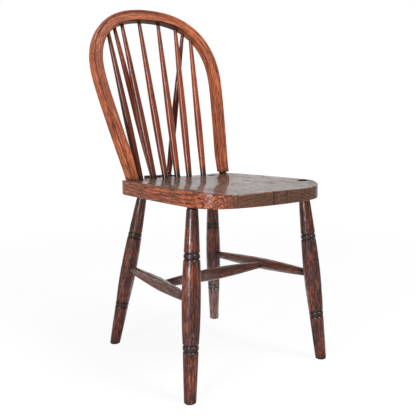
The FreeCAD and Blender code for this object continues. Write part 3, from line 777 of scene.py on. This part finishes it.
# foot in the seat or the bobtail, and where the axis meets the hoop's middle line
for node, foot, head in (("spindle_outer", (0.098, 0.14883, 0.43540), (0.12780, 0.24635, 0.82595)),
                         ("spindle_middle", (0.055, 0.15483, 0.43427), (0.08332, 0.25422, 0.84933)),
                         ("spindle_inner", (0.019, 0.15683, 0.43508), (0.02949, 0.25770, 0.85966)),
                         ("brace", (0.026, 0.21283, 0.4375), (0.10813, 0.25064, 0.83870))):
    foot_wide, swell_wide, head_wide = BRACE_DIAMETERS if node == "brace" else SPINDLE_DIAMETERS
    for side_name, sign in (("left", -1), ("right", 1)):
        low = Vector((sign * foot[0], foot[1], foot[2]))
        top = Vector((sign * head[0], head[1], head[2]))
        top -= (top - low).normalized() * STICK_IN_HOOP
        stick = swelled_stick(
            "turned_%s_%s" % (node, side_name), foot=low, head=top, foot_diameter=foot_wide,
            swell_diameter=swell_wide, head_diameter=head_wide, swell_place=STICK_SWELL_PLACE,
            low_taper=2.0, high_taper=1.15, tenon=STICK_TENON, wobble=STICK_WOBBLE,
            stain=stick_tone_and_shade[node][sign > 0], seed=seed, rings=200, sides=40,
            finish=spindle_material)
        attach(stick, "root")
        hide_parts("%s_%s" % (node, side_name))
        seed += 1.7


# Wedges: thin slips of wood driven into the ends of the leg and hoop tenons to spread
# them. They are flush with the tenons and black with old polish.

def upright_grain(start):
    return start.node("ShaderNodeTexCoord", out="Object")


wedge_material = waxed_wood(
    "wedge_slip", upright_grain, shade(76, 42, 30), shade(48, 27, 22), shade(100, 60, 40),
    shade(26, 15, 13), (0.0, 0.3), 0.003, pores=0.6, flecks=0.3, dirt=0.6, gloss=0.45)
for name in nodes:
    if "wedge" in name:
        finish_with(nodes[name], wedge_material)


# Floor and light: a plain pale floor that keeps the chair's shadow, a soft lamp above in
# front, a tall one to the left, and a white backdrop behind the chair.

# from the camera past the chair, where reflections meet the backdrop
BACKDROP_WAY = (0.578, 0.816, 0.0)


def studio(tree, way):
    """Whether the camera or a reflection sees the surround, and how much of what it sees
    that way is the white backdrop behind the chair."""
    path = tree.nodes.new("ShaderNodeLightPath")
    camera, glossy, glass = (Strand(tree, path.outputs[ray]) for ray in (
        "Is Camera Ray", "Is Glossy Ray", "Is Transmission Ray"))
    backdrop = way.maths("DOT_PRODUCT", way.maths("NORMALIZE", way), BACKDROP_WAY)
    return camera, glossy.most(glass), backdrop.between(0.5, 0.9)


floor_mesh = bpy.data.meshes.new("floor")
floor_mesh.from_pydata([(-60, -60, 0), (60, -60, 0), (60, 60, 0), (-60, 60, 0)], [], [(0, 1, 2, 3)])
floor = bpy.data.objects.new("floor", floor_mesh)
bpy.context.scene.collection.objects.link(floor)
floor_paint = bpy.data.materials.new("pale_floor")
floor_paint.use_nodes = True
tree = floor_paint.node_tree
lit = tree.nodes["Principled BSDF"]
lit.inputs["Base Color"].default_value = (0.92, 0.92, 0.92, 1)
lit.inputs["Roughness"].default_value = 0.9
glow = tree.nodes.new("ShaderNodeEmission")
start = Strand(tree)
camera_sees, mirrored, backdrop = studio(tree, start.node("ShaderNodeTexCoord", out="Object"))
bright = camera_sees.most(backdrop * 0.85 + 0.15)
tree.links.new(mix(start, (0, 0, 0, 1), (1.04, 1.04, 1.04, 1), bright).socket, glow.inputs["Color"])
away = start.maths("LENGTH", start.node("ShaderNodeTexCoord", out="Object")).between(1.2, 3.0)
join = tree.nodes.new("ShaderNodeMixShader")
tree.links.new((camera_sees.most(mirrored) * (away * 0.14 + 0.86)).socket, join.inputs["Fac"])
tree.links.new(lit.outputs[0], join.inputs[1])
tree.links.new(glow.outputs[0], join.inputs[2])
tree.links.new(join.outputs[0], tree.nodes["Material Output"].inputs["Surface"])
finish_with(floor, floor_paint)

world = bpy.data.worlds.new("studio")
bpy.context.scene.world = world
world.use_nodes = True
tree = world.node_tree
surround = tree.nodes["Background"]
start = Strand(tree)
camera_sees, mirrored, backdrop = studio(tree, start.node("ShaderNodeTexCoord", out="Generated"))
bright = (mirrored * (backdrop * 0.8 - 0.2) + 0.35).most(camera_sees)
tree.links.new(mix(start, (0, 0, 0, 1), (1, 1, 1, 1), bright).socket, surround.inputs["Color"])


def soft_lamp(name, place, target, wide, high, watts):
    lamp = bpy.data.lights.new(name, "AREA")
    lamp.shape, lamp.size, lamp.size_y, lamp.energy = "RECTANGLE", wide, high, watts
    holder = bpy.data.objects.new(name, lamp)
    bpy.context.scene.collection.objects.link(holder)
    holder.location = place
    holder.rotation_euler = (Vector(target) - Vector(place)).to_track_quat("-Z", "Y").to_euler()
    holder.visible_camera = False
    return holder


soft_lamp("key_lamp", (1.2, -2.8, 4.5), (0, 0, 0.45), 1.4, 1.2, 125)
soft_lamp("strip_lamp", (-2.66, -1.32, 1.6), (0, 0, 1.2), 0.9, 3.1, 60)


# Camera: at standing distance, a little left of the front and just above the seat, as
# the photograph was taken.

CAMERA_PLACE = (-0.8131, -1.1570, 0.5679)
YAW, PITCH, ROLL = math.radians(-35.33), math.radians(-8.19), math.radians(-0.97)
back = Vector((math.sin(YAW) * math.cos(PITCH), -math.cos(YAW) * math.cos(PITCH),
               -math.sin(PITCH)))
level = (-back).cross(Vector((0, 0, 1))).normalized()
rise = level.cross(-back)
right = level * math.cos(ROLL) + rise * math.sin(ROLL)
up = rise * math.cos(ROLL) - level * math.sin(ROLL)
camera_data = bpy.data.cameras.new("camera")
camera = bpy.data.objects.new("camera", camera_data)
bpy.context.scene.collection.objects.link(camera)
camera.matrix_world = (Matrix.Translation(CAMERA_PLACE)
                       @ Matrix((right, up, back)).transposed().to_4x4())
camera_data.sensor_width = 36.0
camera_data.lens = 50.17
camera_data.shift_x = -0.0006
camera_data.shift_y = 0.0041
camera_data.clip_start = 0.05
bpy.context.scene.camera = camera
bpy.context.scene.view_settings.view_transform = "Standard"
